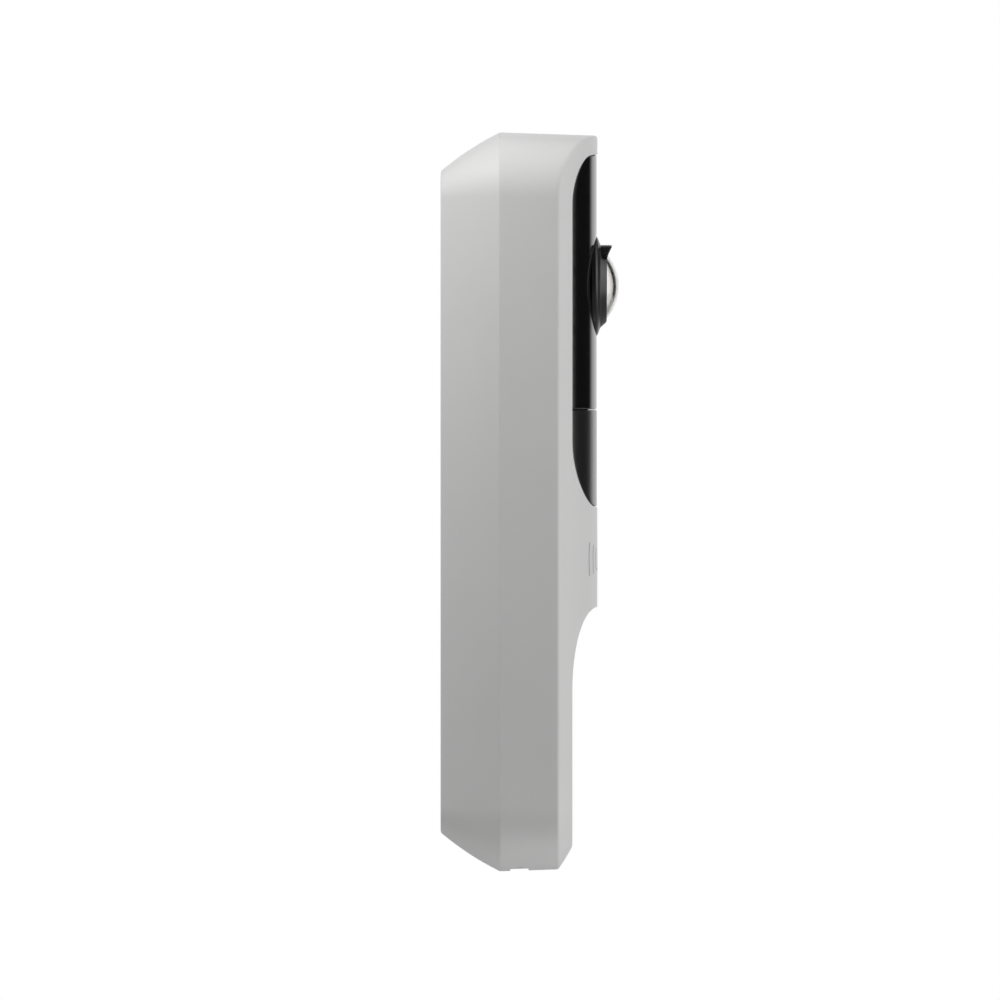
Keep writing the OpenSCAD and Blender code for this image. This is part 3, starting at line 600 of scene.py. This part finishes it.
def scoop_depth(z):
    share = min(max((z - SCOOP_END) / SCOOP_TALL, 0), 1)
    return PLATEAU + SCOOP_DEEP * (1 - sqrt(1 - share ** 2))


def front_depth(x, z):
    depth = crown(x)
    if z < MM - CORNER_Z:
        depth = min(depth, crown(HALF_W - min(inside(BODY, x, z), HALF_W)))
    if z <= SCOOP_TOP:
        depth = min(depth, scoop_depth(z))
    return depth


def inner_depth(x, z):
    depth = crown(x, FRONT_R - WALL)
    return min(depth, PLATEAU - 2.8 * MM) if z < SCOOP_TOP + WALL else depth


def circle(r, middle_z, count=128):
    return [(r * cos(2 * pi * i / count), middle_z + r * sin(2 * pi * i / count)) for i in range(count)]


def pushed(points, depth):
    return [Vector((x, -depth(x, z), z)) for x, z in points]


def bend(start, corner, end, steps=6):
    """Points of a small rounding between two rings, ring by ring."""
    rings = []
    for i in range(1, steps + 1):
        t = i / steps
        rings.append([(1 - t) ** 2 * a + 2 * t * (1 - t) * b + t ** 2 * c for a, b, c in zip(start, corner, end)])
    return rings


print("plateau starts", round(PLATEAU_IN / MM, 2), "mm inside the outline")

# %% The front shell's edges
base = outline(BODY, 0)
drawn = outline(BODY, MM)
inward = [((b[0] - a[0]) / MM, (b[1] - a[1]) / MM) for a, b in zip(base, drawn)]
edge_ring, side_ring, face_loop = [], [], []
for (x, z), (ux, uz) in zip(base, inward):
    inset = 0.4 * MM
    for _ in range(3):
        depth = front_depth(x + ux * inset, z + uz * inset)
        inset = (depth - PARTING) * DRAFT
    soft = (0.35 + 0.35 * min(max((z - 40 * MM) / (20 * MM), 0), 1)) * MM
    edge_ring.append(Vector((x + ux * inset, -depth, z + uz * inset)))
    below = inset - soft * DRAFT
    side_ring.append(Vector((x + ux * below, soft - depth, z + uz * below)))
    face_loop.append((x + ux * (inset + soft), z + uz * (inset + soft)))

# The scoop's crease: where its curve meets the convex front, closed by the plateau's edge below
crease = []
for i in range(121):
    x = (HALF_W - PLATEAU_IN) * cos(pi * i / 120)
    share = sqrt(1 - (1 - min((crown(x) - PLATEAU) / SCOOP_DEEP, 1)) ** 2)
    crease.append((x, SCOOP_END + SCOOP_TALL * share))
rim = [point for point in outline(BODY, PLATEAU_IN) if point[1] < SCOOP_END - 0.3 * MM]
crease_loop = crease + rim
scoop_rows = [
    (x * MM, z) for share in (0.004, 0.012, 0.03, 0.06, 0.1, 0.15) for x in range(-18, 19)
    for z in [SCOOP_END + SCOOP_TALL * (1 - share)] if crown(x * MM) > scoop_depth(z) + 0.1 * MM
]
print(len(base), "points around,", len(crease_loop), "around the scoop")

# %% The front shell
GAP = 0.15 * MM
HOLE_R = RING_R + GAP / 2
LIP = 0.2 * MM
window_loop = outline(WINDOW, -GAP - LIP, WINDOW_MID)
window_edge = outline(WINDOW, -GAP, WINDOW_MID)
button_loop = circle(HOLE_R + LIP, BUTTON_Z)
button_edge = circle(HOLE_R, BUTTON_Z)
inner_loop = outline(BODY, WALL)

shell = bmesh.new()
ring = first_ring(shell, at_depth(inner_loop, PARTING))
for inset, depth in ((0.08 * MM, PARTING), (0, PARTING + 0.08 * MM)):
    ring = next_ring(shell, ring, at_depth(outline(BODY, inset), depth))
for share in (0.2, 0.4, 0.6, 0.8, 1.0):
    foot = at_depth(base, PARTING + 0.08 * MM)
    ring = next_ring(shell, ring, [a.lerp(b, share) for a, b in zip(foot, side_ring)])
face_ring = pushed(face_loop, front_depth)
for points in bend(side_ring, edge_ring, face_ring):
    ring = next_ring(shell, ring, points)
ring = first_ring(shell, at_depth(inner_loop, PARTING))
next_ring(shell, ring, pushed(inner_loop, inner_depth))


def hole(bm, loop, edge, front, back):
    """The wall of an opening, from its rounded lip to the inner face."""
    ring = first_ring(bm, pushed(loop, front))
    lower = [Vector((x, LIP - front(x, z), z)) for x, z in edge]
    for points in bend(pushed(loop, front), pushed(edge, front), lower, 4) + [pushed(edge, back)]:
        ring = next_ring(bm, ring, points)


hole(shell, window_loop, window_edge, front_depth, inner_depth)
hole(shell, button_loop, button_edge, front_depth, inner_depth)


def on_face(x, z):
    return inside(WINDOW, x, z, WINDOW_MID) < -GAP - LIP - 0.02 * MM and hypot(x, z - BUTTON_Z) > HOLE_R + LIP


def on_inner(x, z):
    return inside(WINDOW, x, z, WINDOW_MID) < -GAP and hypot(x, z - BUTTON_Z) > HOLE_R


sheet(shell, [face_loop, window_loop, button_loop, crease_loop], on_face, front_depth, 0.8 * MM, extra=scoop_rows)
sheet(shell, [inner_loop, window_edge, button_edge], on_inner, inner_depth, 2.5 * MM)
front_piece = finish_piece(
    "front_moulding", shell, white_shell, "housing", "white_shell", "front_shell", angle=radians(19)
)

# %% [markdown]
# ## Openings along the bottom
# A shallow groove runs along the bottom edge, with nine slits in it for the speaker. A small microphone hole
# sits on each side. They are taken out of the finished shell with cutters that have the shape of the openings.

# %% Openings along the bottom
GRILLE = (12.9 * MM, 16.3 * MM)
groove = bmesh.new()
path = [(x, z) for x, z in outline(BODY, 0.55 * MM) if z < 0 and abs(x) < 10.5 * MM]
path = [(-10.5 * MM, path[0][1])] + path + [(10.5 * MM, path[-1][1])]
low = [(x, -75 * MM) for x, z in reversed(path)]
ring = first_ring(groove, at_depth(path + low, GRILLE[0]))
ring = next_ring(groove, ring, at_depth(path + low, GRILLE[1]))
bmesh.ops.holes_fill(groove, edges=groove.edges)
cut(front_piece, groove)
slits = bmesh.new()
for i in range(-4, 5):
    middle = i * 2.2 * MM
    add_block(slits, (middle - 0.5 * MM, -15.8 * MM, -75 * MM), (middle + 0.5 * MM, -13.4 * MM, -62.5 * MM))
for side in (-1, 1):
    add_rod(slits, (side * 13.3 * MM, -14.8 * MM, -60 * MM), 0.5 * MM, 30 * MM, "Z")
cut(front_piece, slits)
print("front shell has", len(front_piece.data.polygons), "faces")

# %% [markdown]
# ## The rear cover
# The rear cover draws in towards the wall along a shallow arc, so it looks like a dish behind the shell. Rings
# at different insets follow that arc, round the rear edge, and go down into the recess that hides the bracket.

# %% The rear cover
TAPER_IN, TAPER_R = 7.2 * MM, 53 * MM
RECESS_IN, RECESS_D, FLOOR_D = 9.7 * MM, 5.6 * MM, 7.2 * MM


def taper_at(depth):
    chord = hypot(PARTING, TAPER_IN)
    back = sqrt(TAPER_R ** 2 - (chord / 2) ** 2)
    x = TAPER_IN / 2 + back * PARTING / chord
    d = PARTING / 2 + back * TAPER_IN / chord
    return x - sqrt(TAPER_R ** 2 - (depth - d) ** 2)


stations = [(4.2 * MM, FLOOR_D), (4.2 * MM, PARTING), (0.08 * MM, PARTING), (0.01 * MM, PARTING - 0.08 * MM)]
stations += [(taper_at(depth * MM), depth * MM) for depth in (10, 9, 8, 7, 6, 5, 4, 3, 2, 1.2)]
edge = rounded([(taper_at(0.7 * MM), 0.7 * MM), (taper_at(0), 0), (RECESS_IN - 0.4 * MM, 0)], 0.75 * MM, 6)
inner_edge = rounded([(RECESS_IN - 0.4 * MM, 0), (RECESS_IN, 0), (RECESS_IN, 0.5 * MM)], 0.25 * MM, 3)
stations += edge + inner_edge[1:]
stations += rounded([(RECESS_IN, 4.8 * MM), (RECESS_IN, RECESS_D), (RECESS_IN + 0.8 * MM, RECESS_D)], 0.3 * MM, 3)

cover = bmesh.new()
ring = first_ring(cover, at_depth(outline(BODY, stations[0][0]), stations[0][1]))
bmesh.ops.edgeloop_fill(cover, edges=ring)
for inset, depth in stations[1:]:
    ring = next_ring(cover, ring, at_depth(outline(BODY, inset), depth))
bmesh.ops.edgeloop_fill(cover, edges=ring)
cover_piece = finish_piece(
    "rear_moulding", cover, white_cover, "housing", "white_cover", "rear_cover", angle=radians(25)
)

# %% Holes in the rear cover
floor_mid = -(RECESS_D + FLOOR_D) / 2
holes = bmesh.new()
for x, z, r in (
    (-7, 54.5, 1.35), (7, 54.5, 1.35), (-9.5, -31, 1.35), (9.5, -31, 1.35),
    (0, 25, 1.26), (0, -33, 2.06), (0, 36, 1.5),
):
    add_rod(holes, (x * MM, floor_mid, z * MM), r * MM, 4 * MM, "Y")
add_block(holes, (-10.15 * MM, -9.5 * MM, -24.65 * MM), (10.15 * MM, -3.5 * MM, -15.35 * MM))
cut(cover_piece, holes)
lock_hole = spun([(0, 75), (2.7, 75), (2.7, 60.1), (1.45, 60.1), (1.45, 57), (0, 57)], (0, 0), 48)
bmesh.ops.rotate(lock_hole, verts=lock_hole.verts, cent=(0, 0, 0), matrix=Matrix.Rotation(pi / 2, 3, "X"))
bmesh.ops.translate(lock_hole, verts=lock_hole.verts, vec=(0, -3.5 * MM, 0))
cut(cover_piece, lock_hole)

catches = bmesh.new()
for x in (-8 * MM, 8 * MM):
    for z in (0, 38 * MM):
        add_block(catches, (x - 1.9 * MM, -5.7 * MM, z + 5.2 * MM), (x + 1.9 * MM, -2.3 * MM, z + 7.2 * MM))
        add_block(catches, (x - 1.9 * MM, -3.2 * MM, z + 0.7 * MM), (x + 1.9 * MM, -2.3 * MM, z + 5.3 * MM))
bmesh.ops.bevel(
    catches, geom=catches.edges[:], offset=0.15 * MM, offset_type="OFFSET", segments=3, profile=0.5,
    affect="EDGES", material=-1,
)
finish_piece("hook_catches", catches, white_cover, "housing", "white_cover")

# %% [markdown]
# ## The black window
# Two panels follow the convex front behind an even gap: the camera window above and the motion lens below. Each
# is a curved plate with a rounded rim, so a line of light runs along its edge. The upper one has a round hole.

# %% The black window


def panel_order(upper):
    side = 1 if upper else -1
    near = [(x, z) for x, z in outline(WINDOW, 0, WINDOW_MID) if (z - SPLIT) * side > 0.6 * MM]
    line = [(WINDOW[0] * (1 - i / 20), SPLIT) for i in range(41)]
    middle = (SPLIT + side * 15 * MM)
    return sorted(range(len(near + line)), key=lambda i: atan2((near + line)[i][1] - middle, (near + line)[i][0]))


def panel_ring(upper, inset, order):
    side = 1 if upper else -1
    base = outline(WINDOW, 0, WINDOW_MID)
    near = [p for p, b in zip(outline(WINDOW, inset, WINDOW_MID), base) if (b[1] - SPLIT) * side > 0.6 * MM]
    line = [((WINDOW[0] - inset) * (1 - i / 20), SPLIT + side * (0.05 * MM + inset)) for i in range(41)]
    return [(near + line)[i] for i in order]


def panel(name, upper, material, slot, node, hole_r=None):
    front_r = FRONT_R - 0.1 * MM
    soft = 0.3 * MM
    order = panel_order(upper)

    def front(x, z):
        return crown(x, front_r)

    def back(x, z):
        return crown(x, front_r - 1.6 * MM)

    bm = bmesh.new()
    face, rim = panel_ring(upper, soft, order), panel_ring(upper, 0, order)
    ring = first_ring(bm, pushed(face, front))
    lower = [Vector((x, soft - front(x, z), z)) for x, z in rim]
    for points in bend(pushed(face, front), pushed(rim, front), lower, 5) + [pushed(rim, back)]:
        ring = next_ring(bm, ring, points)
    face_loops, back_loops = [face], [rim]
    if hole_r:
        face_loops.append(circle(hole_r + LIP, LENS_Z))
        back_loops.append(circle(hole_r, LENS_Z))
        hole(bm, face_loops[1], back_loops[1], front, back)

    def keep(x, z):
        return not hole_r or hypot(x, z - LENS_Z) > hole_r + 0.02 * MM

    sheet(bm, face_loops, lambda x, z: not hole_r or hypot(x, z - LENS_Z) > hole_r + LIP, front, 1.0 * MM)
    sheet(bm, back_loops, keep, back, 2.5 * MM)
    return finish_piece(name, bm, material, "housing", slot, node, angle=radians(25))


panel("window_panel", True, black_window, "black_window", "camera_window", BEZEL_R + GAP)
panel("motion_panel", False, motion_lens, "motion_lens", "pir_lens")

# %% [markdown]
# ## The camera lens
# A stepped bezel carries the glass dome, and a small visor stands over its upper edge to keep the sun off. All
# three are turned shapes, so each is a profile that is spun. The visor spins through part of a turn only, and its
# top is then sloped down from the middle towards both ends.

# %% Bezel and dome
rim_d, seat_d = RIM / MM, RIM / MM - 0.95
bezel_edge = APEX / MM - 0.25
profile = [
    (6.0, seat_d), (6.0, rim_d), (6.45, rim_d), (6.7, rim_d - 0.1), (7.75, bezel_edge + 0.75),
    (8.9, bezel_edge + 0.35), (9.35, bezel_edge), (9.35, bezel_edge - 0.9), (7.9, bezel_edge - 0.9), (7.9, 26.01),
    (6.0, 26.01), (6.0, 29.16), (5.45, 29.16), (5.45, seat_d - 0.01), (6.0, seat_d),
]
finish_piece(
    "lens_ring", spun(rounded(profile, 0.22), (0, LENS_Z), 160), black_trim, "housing", "black_trim", "lens_bezel",
    angle=radians(30),
)
DOME_R, DOME_T = 9.0, 1.0
centre_d = rim_d - sqrt(DOME_R ** 2 - 5.95 ** 2)
inner_r = DOME_R - DOME_T
outer_turn, inner_turn = asin(5.95 / DOME_R), acos((seat_d - centre_d) / inner_r)
profile = [(DOME_R * sin(outer_turn * i / 24), centre_d + DOME_R * cos(outer_turn * i / 24)) for i in range(25)]
profile += [(5.95, seat_d + 0.02)]
for i in range(20, -1, -1):
    profile.append((inner_r * sin(inner_turn * i / 20), centre_d + inner_r * cos(inner_turn * i / 20)))
finish_piece("glass_dome", spun(profile, (0, LENS_Z), 96), dome_glass, "housing", "lens_glass", "lens_dome")

# %% Visor
sweep = radians(84)
profile = rounded([
    (6.48, rim_d + 0.05), (6.76, rim_d - 0.04), (7.64, bezel_edge + 0.96), (7.64, rim_d + 0.7),
    (7.45, rim_d + 1.04), (6.48, rim_d + 0.05),
], 0.06, 2)
visor = spun(profile, (0, 0), 64, sweep, pi / 2 - sweep / 2)
bmesh.ops.holes_fill(visor, edges=visor.edges)
for vert in visor.verts:
    lean = atan2(vert.co.x, vert.co.z)
    share = max((cos(lean) - cos(sweep / 2)) / (1 - cos(sweep / 2)), 0)
    height = -vert.co.y - RIM
    if height > 0.05 * MM:
        vert.co.y = -RIM - 0.05 * MM - (height - 0.05 * MM) * (0.06 + 0.94 * share)
bmesh.ops.translate(visor, verts=visor.verts, vec=(0, 0, LENS_Z))
finish_piece("visor", visor, black_trim, "housing", "black_trim", "lens_visor")

# %% [markdown]
# ## The button
# The cap is a thick disc with a rounded edge and a slight dish for the fingertip. A ring of frosted plastic
# around it carries light from the board behind. Both are spun from half-sections.

# %% The button
top = PLATEAU / MM
profile = [(9.7 * i / 20, top - 0.22 * (1 + cos(pi * i / 20)) / 2) for i in range(21)]
profile += [(10.0, top - 0.04), (10.14, top - 0.14), (10.2, top - 0.32), (10.2, top - 2), (0, top - 2)]
finish_piece("button_dish", spun(profile, (0, BUTTON_Z), 128), white_shell, "button", "white_shell", "button_cap")
profile = rounded([
    (11, 20.4), (10.5, 20.4), (10.5, top), (12.7, top), (12.7, 21.6), (14, 21.6), (14, 20.4), (11, 20.4)
], 0.22)
finish_piece(
    "light_band", spun(profile, (0, BUTTON_Z), 128), small_finishes["light_guide"], "housing", "light_guide",
    "light_ring",
)

# %% [markdown]
# ## A bell sign
# Doorbells carry a small sign in the band between the window and the scoop. This one is a plain bell with
# three arcs of sound on each side, printed in grey. Each stroke is an edge that is extruded along its path.

# %% A bell sign
SIGN_Z = -12.9 * MM
INK_T = 0.012 * MM


def stroke(bm, path, width=0.42):
    """A thin ribbon along a path of (x, height) points in millimetres, laid on the convex front."""
    path = [Vector(point) for point in path]
    end = None
    for i, point in enumerate(path):
        along = (path[min(i + 1, len(path) - 1)] - path[max(i - 1, 0)]).normalized()
        across = Vector((-along.y, along.x)) * width / 2
        sides = (point + across, point - across)
        pair = [Vector((p.x * MM, -crown(p.x * MM) - INK_T, SIGN_Z + p.y * MM)) for p in sides]
        if end is None:
            end = bm.edges.new([bm.verts.new(p) for p in pair])
            order = list(end.verts)
        else:
            made = bmesh.ops.extrude_edge_only(bm, edges=[end])["geom"]
            edges = [part for part in made if isinstance(part, bmesh.types.BMEdge)]
            end = next(edge for edge in edges if not any(vert in order for vert in edge.verts))
            order = [
                next(edge.other_vert(old) for edge in old.link_edges if edge.other_vert(old) in end.verts)
                for old in order
            ]
            for vert, p in zip(order, pair):
                vert.co = p


sign = bmesh.new()
half = [(2.3, 0.55), (1.85, 1.0), (1.6, 1.7), (1.5, 2.5), (1.3, 3.3), (0.95, 3.9), (0.5, 4.25), (0, 4.35)]
stroke(sign, half + [(-x, z) for x, z in half[-2::-1]])
stroke(sign, [(-2.6 + 5.2 * i / 8, 0.5) for i in range(9)])
stroke(sign, [(0.62 * cos(pi + pi * i / 10), 0.15 + 0.62 * sin(pi + pi * i / 10)) for i in range(11)])
for side in (-1, 1):
    for r, open_angle in ((5.2, 24), (8.2, 19), (11.2, 16)):
        turn = radians(open_angle)
        angles = [-turn + 2 * turn * i / 14 for i in range(15)]
        stroke(sign, [(side * r * cos(angle), 2.3 + r * sin(angle)) for angle in angles])
ink = moulded("sign_ink", (0.3, 0.3, 0.31), 0.5, grain=0.15 * MM, depth=0.001 * MM)
bmesh.ops.recalc_face_normals(sign, faces=sign.faces)
finish_piece("bell_sign", sign, ink, "housing", "white_shell", flip=False)

# %% [markdown]
# ## Floor and light
# A pale floor lies well below. The light is soft: a panel overhead, near enough that it falls off down the
# housing, a faint one below, and a surround that is brightest in front, above the front and behind. The bright
# patch behind gives the black window a thin line along the edge of its curve, and a dark patch beside it keeps
# the rest of the window black. The backdrop itself is plain white from every side.

# %% Floor
floor = bmesh.new()
bmesh.ops.create_grid(floor, x_segments=1, y_segments=1, size=1.5)
bmesh.ops.translate(floor, verts=floor.verts, vec=(0, 0, -0.25))
floor_mesh = bpy.data.meshes.new("floor")
floor.to_mesh(floor_mesh)
floor.free()
floor_object = bpy.data.objects.new("floor", floor_mesh)
bpy.context.scene.collection.objects.link(floor_object)
floor_mesh.materials.append(moulded("floor_paint", (0.8, 0.8, 0.8), 0.7, grain=3 * MM, depth=0.02 * MM))

# %% Light


def soft_light(name, place, target, size, power):
    data = bpy.data.lights.new(name, "AREA")
    data.shape, data.size, data.size_y = "RECTANGLE", size[0], size[1]
    data.energy = power
    lamp = bpy.data.objects.new(name, data)
    lamp.location = place
    lamp.rotation_euler = (Vector(target) - Vector(place)).to_track_quat("-Z", "Y").to_euler()
    bpy.context.scene.collection.objects.link(lamp)


soft_light("overhead", (-0.085, 0.075, 0.17), (-0.02, 0, 0.02), (0.07, 0.07), 0.165)
soft_light("bounce", (-0.03, -0.03, -0.13), (-0.01, -0.015, -0.06), (0.05, 0.04), 0.008)

world = bpy.data.worlds.new("surround")
world.use_nodes = True
bpy.context.scene.world = world
tree = world.node_tree
tree.nodes.clear()


class Surround(Finish):
    def __init__(self, tree):
        self.tree = tree
        self.place = self.node("ShaderNodeTexCoord", output="Generated")


surround = Surround(tree)


def towards(direction, low, high):
    """1 near a direction and 0 away from it; low and high are cosines of the angle from it."""
    direction = Vector(direction).normalized()
    settings = {"operation": "DOT_PRODUCT"}
    facing = surround.node("ShaderNodeVectorMath", settings, {0: surround.place, 1: direction}, "Value")
    return surround.band(facing, low, high)


behind = towards((1, 0, 0), 0.86, 0.93)
in_front = towards((-0.2, -0.98, 0), 0.6, 0.97)
wall_side = towards((-0.2, 1, 0), 0.1, 0.9)
flag = towards((0.66, -0.75, 0), 0.78, 0.93)
above_front = towards((0.1, -0.75, 0.66), 0.75, 0.95)
level = (0.06 + 0.46 * wall_side) * (1 - 0.85 * flag) + 1.7 * in_front + 0.9 * behind + 0.7 * above_front
seen = surround.node("ShaderNodeLightPath", output="Is Camera Ray")
level = level * (1 - seen) + seen
background = tree.nodes.new("ShaderNodeBackground")
tree.links.new(level.socket, background.inputs["Color"])
output = tree.nodes.new("ShaderNodeOutputWorld")
tree.links.new(background.outputs[0], output.inputs[0])
bpy.context.scene.view_settings.view_transform = "Standard"
print("lights ready")
